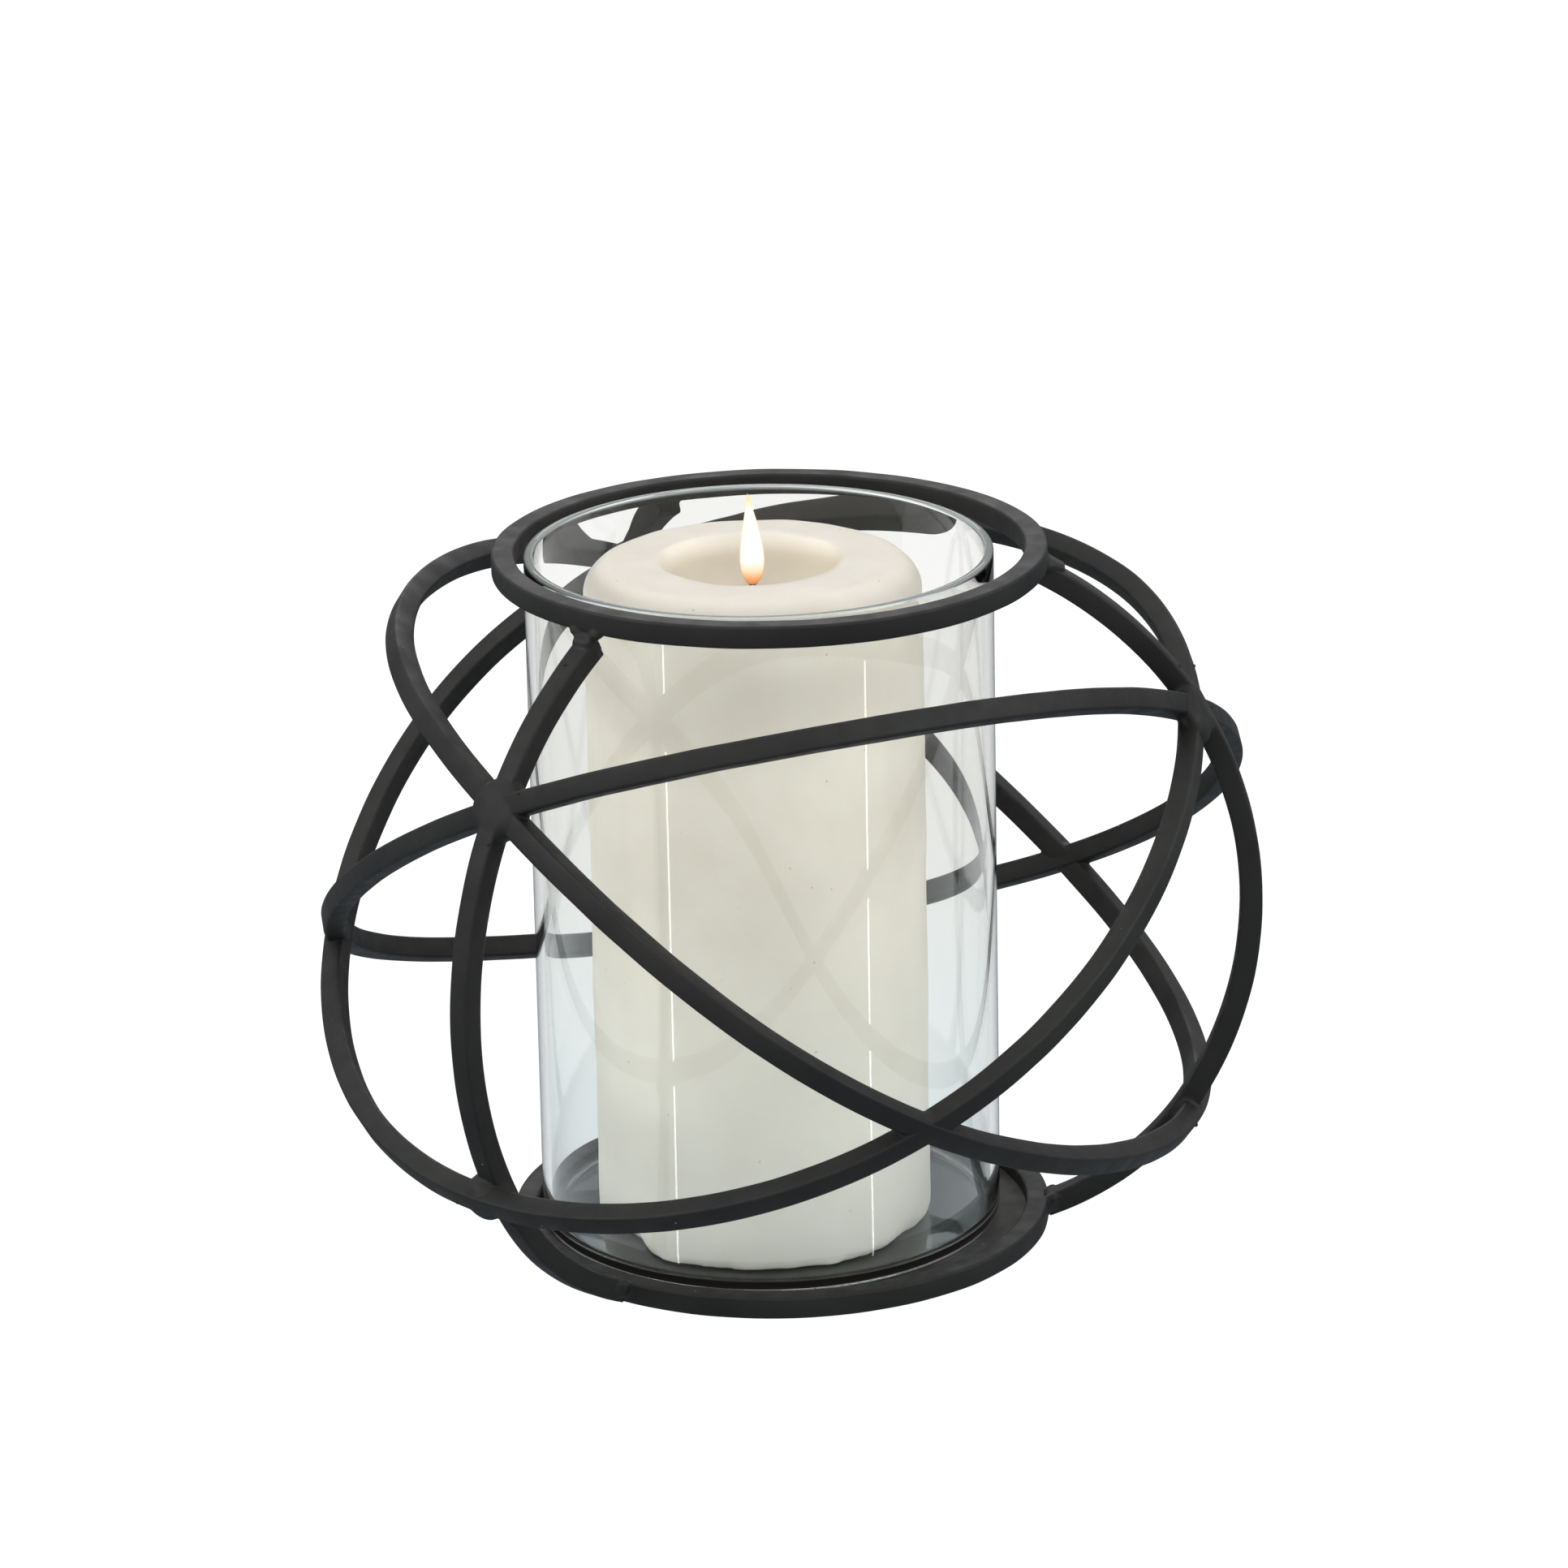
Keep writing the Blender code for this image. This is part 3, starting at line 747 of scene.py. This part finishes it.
def add_bars(rings, hoops, ribs, coat):
    add_bar("top_ring_bar", rings[0], True, coat, ["top_ring"], 1)
    add_bar("bottom_ring_bar", rings[1], True, coat, ["bottom_ring"], 2)
    for k in range(3):
        hoop, rib = f"hoop_{k + 1}", f"rib_{k + 1}"
        add_bar(f"{hoop}_bar", hoops[k], True, coat, [f"{hoop}_{part}" for part in HOOP_BARS], 3 + k)
        add_bar(f"{rib}_bar", ribs[k], False, coat, [f"{rib}_{part}" for part in RIB_BARS], 6 + k)


def add_knots(routes, coat):
    """The knots where bars cross. Returns their centres."""
    centres = []
    middle = np.array([0.0, 0.0, RIB_CENTRE_HEIGHT])
    for kind, puck in KNOT_PUCKS.items():
        for index in range(3):
            check_route(kind, index)
            centre = knot_centre(kind, index)
            radius, thickness = SLIM_PUCKS.get((kind, index), puck)
            size = (radius, radius, thickness)
            lumps = [ball(centre, centre - middle, size, squareness=PUCK_SQUARENESS)]
            lumps += [ball(at_turn(*spot), at_turn(*spot) - middle, BEAD_SIZE)
                      for spot in BEADS.get((kind, index), ())]
            add_weld(f"{kind}_knot_{index + 1}", routes, centre, lumps, coat, f"weld_{kind}_{index + 1}")
            centres.append(centre)
    return centres


def pair_of_beads(turn, apart, place, size):
    """Two beads, one on either side of a rib's end."""
    return [ball(at_turn(turn + side, *place), (0.0, 0.0, 1.0), size) for side in (-apart, apart)]


def add_end_welds(rings, ribs, coat):
    """The welds of the ribs on the two rings. Returns their centres."""
    centres = []
    for index, rib in enumerate(ribs):
        turn, foot_turn = RIBS[index][0], FEET[index][0]
        top, foot = at_turn(turn, *RIB_TOP), at_turn(foot_turn, *RIB_FOOT)
        filler, faces = stub(rib, top, FILLER_REACH)
        lumps = [(filler + np.array([0.0, 0.0, FILLER_LIFT]), faces)]
        lumps += pair_of_beads(turn, FLARE_TURN, FLARES, FLARE_SIZE)
        add_weld(f"rib_top_weld_{index + 1}", [rings[0], rib], top, lumps, coat,
                 f"weld_rib_top_{index + 1}", END_REACH)
        lumps = [ball(foot, (0.0, 0.0, 1.0), RIB_FOOT_SIZE)]
        lumps += pair_of_beads(foot_turn, FOOT_BEAD_TURN, FOOT_BEADS, FOOT_BEAD_SIZE)
        add_weld(f"rib_foot_weld_{index + 1}", [rings[1], rib], foot, lumps, coat,
                 f"weld_rib_foot_{index + 1}", END_REACH)
        centres += [top, foot]
    return centres


def add_spatter(routes, centres, coat):
    """Small beads thrown on to the bars beside the welds."""
    chance = np.random.default_rng(SPATTER_SEED)
    beads = []
    for centre in centres:
        for points, outward in routes:
            apart = np.linalg.norm(points - centre, axis=1)
            near = np.nonzero((apart > SPATTER_FROM) & (apart < SPATTER_TO))[0]
            if len(near) == 0 or chance.random() < SPATTER_SKIPPED:
                continue
            i = chance.choice(near)
            along = unit(points[(i + 1) % len(points)] - points[i])
            out = unit(outward[i] - along * np.dot(outward[i], along))
            spot = points[i] + out * BAR / 2 + np.cross(along, out) * chance.uniform(-2.0, 2.0)
            size = chance.uniform(SPATTER_SMALL, SPATTER_LARGE)
            beads.append(ball(spot, out, (size, size, size * 0.8), 10, 6))
    add_piece("weld_spatter", mesh_from("weld_spatter", *joined(beads)), coat, "cage", [])


def make_cage():
    coat = powder_coat("black_coat", COAT_DARK, COAT_LIGHT)
    hoops = [hoop_route(k) for k in range(3)]
    ribs = [rib_route(k) for k in range(3)]
    rings = [ring_route(TOP_RING_RADIUS, TOP_RING_HEIGHT), ring_route(BOTTOM_RING_RADIUS, BAR / 2)]
    add_bars(rings, hoops, ribs, coat)
    centres = add_knots(hoops + ribs, coat)
    centres += add_end_welds(rings, ribs, coat)
    add_spatter(hoops + ribs, centres, coat)


def make_tray():
    coat = powder_coat("tray_coat", TRAY_DARK, TRAY_LIGHT, TRAY_GLOW)
    edge, top = BOTTOM_RING_RADIUS - BAR / 2 + TRAY_LAP, TRAY_HIGH[2]
    profile = [(0.0, TRAY_LOW[2])] + [(r, TRAY_LOW[2]) for r in np.linspace(8.0, edge, 6)]
    profile += [(edge - inside, top + above) for inside, above in TRAY_FILLET]
    profile += [(r, top) for r in np.linspace(edge - 0.9, 6.0, 16)] + [(0.0, top)]
    verts, faces = turned(profile, (0.0, 0.0), 160)
    add_piece("tray_disc", mesh_from("tray_disc", verts, faces), coat, "cage", ["tray_plate"])


# --- glass, candle and flame -----------------------------------------------------------------------


def glass_surface(radius, height, angle):
    """The glass wall is never quite round."""
    swell = 0.06 * np.sin(2 * angle + 0.7) + 0.02 * np.sin(5 * angle + height / 40.0)
    return radius + swell * (radius > 40.0), height


def make_glass():
    base, top = GLASS_LOW[2], GLASS_HIGH[2]
    inner, rim = GLASS_RADIUS - GLASS_WALL, GLASS_WALL / 2
    floor, hollow = base + GLASS_FLOOR, GLASS_INNER_HEEL
    profile = [(0.0, base + GLASS_KICK)]
    profile += [(r, base + GLASS_KICK * (1 - (r / GLASS_KICK_RADIUS) ** 2))
                for r in np.linspace(6.0, GLASS_KICK_RADIUS, 10)]
    profile += arc((GLASS_RADIUS - GLASS_HEEL, base + GLASS_HEEL), GLASS_HEEL, -80, 0, 10)
    profile += [(GLASS_RADIUS, z) for z in np.linspace(base + GLASS_HEEL, top - rim, 26)[1:-1]]
    profile += arc((GLASS_RADIUS - rim, top - rim), rim, 0, 180, 12)
    profile += [(inner, z) for z in np.linspace(top - rim, floor + hollow, 26)[1:-1]]
    profile += arc((inner - hollow, floor + hollow), hollow, 0, -90, 8)
    profile += [(r, floor) for r in np.linspace(inner - hollow, 6.0, 9)[1:]] + [(0.0, floor)]
    verts, faces = turned(profile, GLASS_CENTRE, 224, glass_surface)
    add_piece("glass_sleeve", mesh_from("glass_sleeve", verts, faces), clear_glass(), "glass",
              ["glass_cylinder"])


def chip_height(angle):
    """How high the candle's bottom edge is chipped and ragged at an angle."""
    turn = (np.degrees(angle) + 180.0) % 360.0 - 180.0
    chip = sum(size * np.exp(-(((turn - at) / width) ** power)) for at, width, power, size in CHIPS)
    ragged = Vector((np.sin(angle), np.cos(angle), 0.5))
    chip += 0.9 + 0.9 * noise.noise(ragged * 6.0) + 0.6 * noise.noise(ragged * 17.0)
    return max(chip, 0.3)


def candle_surface(radius, height, angle):
    """Hand poured wax: uneven wall and shoulder, and a bottom edge with chips knocked out of it."""
    point = Vector((np.sin(angle) * 1.8, -np.cos(angle) * 1.8, height / 24.0))
    uneven = noise.noise(point) * 0.35 + noise.noise(point * 4.0) * 0.10
    above = height - CANDLE_LOW[2]
    chip = chip_height(angle)
    if radius > CANDLE_RADIUS - 8.0 and above < CHIP_RUN * chip:
        uneven -= chip * (1.0 - above / (CHIP_RUN * chip)) ** 2
    on_top = height > CANDLE_TOP - SHOULDER
    across = Vector((np.sin(angle) * radius / 9.0, np.cos(angle) * radius / 9.0, 7.0))
    lift = 0.30 * noise.noise(across) - 0.35
    share = min(radius / 6.0, 1.0)
    return radius + min(uneven, 0.25) * share, height + (lift * share if on_top else 0.0)


def well_profile():
    """The melted well from its lip down to the wick: a steep wall and a nearly flat floor."""
    profile = []
    squeeze = (WELL_DEPTH - WELL_LIP) / WELL_DEPTH
    for share in WELL_SHARES:
        drop = WELL_DEPTH * (1.0 - share**WELL_STEEPNESS) ** 0.75
        profile.append((WELL_RADIUS * share, CANDLE_TOP - WELL_LIP - squeeze * drop))
    return profile + [(0.0, CANDLE_TOP - WELL_DEPTH)]


def make_candle():
    base, top = CANDLE_LOW[2], CANDLE_TOP
    profile = [(0.0, base)] + [(r, base) for r in np.linspace(10.0, CANDLE_RADIUS, 12)]
    profile += [(CANDLE_RADIUS, base + rise) for rise in FOOT_RISES]
    profile += [(CANDLE_RADIUS, z) for z in np.linspace(base + 12.0, top - SHOULDER - 1.5, 56)]
    profile += arc((CANDLE_RADIUS - SHOULDER, top - SHOULDER), SHOULDER, 0, 90, 16)
    profile += [(r, top) for r in np.linspace(CANDLE_RADIUS - SHOULDER, WELL_RADIUS + 0.4, 5)[1:]]
    profile += well_profile()
    verts, faces = turned(profile, CANDLE_CENTRE, 200, candle_surface)
    from_axis = np.linalg.norm(verts[:, :2] - CANDLE_CENTRE, axis=1)
    share = np.clip((WELL_RADIUS + 7.0 - from_axis) / 6.0, 0.0, 1.0) * (verts[:, 2] > top - WELL_DEPTH - 2.0)
    verts[:, :2] += share[:, None] * np.array(WELL_SHIFT)
    add_piece("candle_wax", mesh_from("candle_wax", verts, faces), ivory_wax(), "candle_body",
              ["candle"])


def wick_surface(radius, height, angle):
    """Three strands plaited together."""
    return radius * (1.0 + 0.16 * np.cos(3 * angle + height * 3.0)), height


def make_wick():
    heights = np.linspace(CANDLE_TOP - WELL_DEPTH - 2.0, WICK_TOP + 0.4, WICK_ROWS)
    profile = [(0.0, heights[0])]
    profile += [(WICK_RADIUS - WICK_TAPER * i / (WICK_ROWS - 1), z) for i, z in enumerate(heights)]
    profile += [(0.3, heights[-1] + 0.25), (0.0, heights[-1] + 0.3)]
    verts, faces = turned(profile, CANDLE_CENTRE, 24, wick_surface)
    add_piece("wick_cord", mesh_from("wick_cord", verts, faces), burnt_wick(), "candle_body",
              ["wick"])


def make_flame():
    """A drop that leans a little to the left."""
    low = CANDLE_TOP - WELL_DEPTH + 0.4
    profile = [(0.0, low)]
    for s in np.linspace(0.0, 1.0, 40)[1:-1]:
        width = np.sin(np.pi * s**0.62) ** 0.9 * (1 - 0.35 * s) + 0.02
        profile.append((FLAME_RADIUS * width, low + FLAME_HEIGHT * s))
    profile.append((0.0, low + FLAME_HEIGHT))
    verts, faces = turned(profile, CANDLE_CENTRE, 48)
    rise = (verts[:, 2] - low) / FLAME_HEIGHT
    verts[:, 0] += FLAME_LEAN * rise + 0.35 * np.sin(2.6 * rise)
    add_piece("flame", mesh_from("flame", verts, faces), candle_flame(low, low + FLAME_HEIGHT),
              "candle_body", [])


# --- stage -----------------------------------------------------------------------------------------


def make_camera():
    data = bpy.data.cameras.new("camera")
    data.sensor_width = 36.0
    data.lens = CAMERA_LENS
    data.shift_x, data.shift_y = CAMERA_SHIFT
    data.clip_start = 0.05
    camera = bpy.data.objects.new("camera", data)
    back = Vector((0.0, -np.cos(CAMERA_PITCH), np.sin(CAMERA_PITCH)))
    level_up = Vector((0.0, np.sin(CAMERA_PITCH), np.cos(CAMERA_PITCH)))
    right = Vector((1.0, 0.0, 0.0)) * np.cos(CAMERA_ROLL) + level_up * np.sin(CAMERA_ROLL)
    up = back.cross(right)
    turn = Matrix((right, up, back)).transposed()
    camera.matrix_world = Matrix.Translation(CAMERA_TARGET + back * CAMERA_DISTANCE) @ turn.to_4x4()
    bpy.context.scene.collection.objects.link(camera)
    bpy.context.scene.camera = camera


def make_floor():
    """A plain white floor that glows evenly, as on a light table. It is not mirrored in the coat."""
    half = FLOOR_HALF
    corners = [(-half, -half, 0), (half, -half, 0), (half, half, 0), (-half, half, 0)]
    mesh = bpy.data.meshes.new("floor")
    mesh.from_pydata(corners, [], [(0, 1, 2, 3)])
    material = bpy.data.materials.new("floor_white")
    material.use_nodes = True
    shader = material.node_tree.nodes["Principled BSDF"]
    shader.inputs["Base Color"].default_value = FLOOR_GREY
    shader.inputs["Roughness"].default_value = 0.9
    shader.inputs["Specular IOR Level"].default_value = 0.0
    shader.inputs["Emission Color"].default_value = (1.0, 1.0, 1.0, 1.0)
    shader.inputs["Emission Strength"].default_value = FLOOR_GLOW
    mesh.materials.append(material)
    floor = bpy.data.objects.new("floor", mesh)
    bpy.context.scene.collection.objects.link(floor)
    floor.visible_glossy = False
    floor.visible_diffuse = False


def make_sky():
    """Soft light from all round: warm white above, a cooler and darker grey below."""
    world = bpy.data.worlds.new("studio")
    bpy.context.scene.world = world
    world.use_nodes = True
    tree = world.node_tree
    coord = tree.nodes.new("ShaderNodeTexCoord")
    split = tree.nodes.new("ShaderNodeSeparateXYZ")
    ramp = tree.nodes.new("ShaderNodeValToRGB")
    fill_ramp(ramp.color_ramp, SKY)
    lift = tree.nodes.new("ShaderNodeMapRange")
    lift.inputs["From Min"].default_value = -1.0
    tree.links.new(coord.outputs["Generated"], split.inputs["Vector"])
    tree.links.new(split.outputs["Z"], lift.inputs["Value"])
    tree.links.new(lift.outputs["Result"], ramp.inputs["Fac"])
    tree.links.new(ramp.outputs["Color"], tree.nodes["Background"].inputs["Color"])
    tree.nodes["Background"].inputs["Strength"].default_value = SKY_STRENGTH


def add_lamp(name, turn, elevation, distance, size, power, faces_height, unseen_by):
    """A rectangular lamp that faces the lantern's axis."""
    data = bpy.data.lights.new(name, "AREA")
    data.shape = "RECTANGLE"
    data.size, data.size_y = size
    data.energy = power
    lamp = bpy.data.objects.new(name, data)
    azimuth, rise = np.radians(turn), np.radians(elevation)
    offset = Vector((np.sin(azimuth) * np.cos(rise), -np.cos(azimuth) * np.cos(rise), np.sin(rise)))
    lamp.location = Vector((0.0, 0.0, faces_height)) + offset * distance
    lamp.rotation_mode = "QUATERNION"
    lamp.rotation_quaternion = offset.to_track_quat("Z", "Y")
    lamp.visible_camera = "camera" not in unseen_by
    lamp.visible_glossy = "glossy" not in unseen_by
    lamp.visible_diffuse = "diffuse" not in unseen_by
    lamp.visible_transmission = "transmission" not in unseen_by
    bpy.context.scene.collection.objects.link(lamp)


def make_stage():
    make_camera()
    make_floor()
    make_sky()
    for lamp in LAMPS:
        add_lamp(*lamp)
    bpy.context.scene.view_settings.view_transform = "Standard"


make_cage()
make_tray()
make_glass()
make_candle()
make_wick()
make_flame()
make_stage()
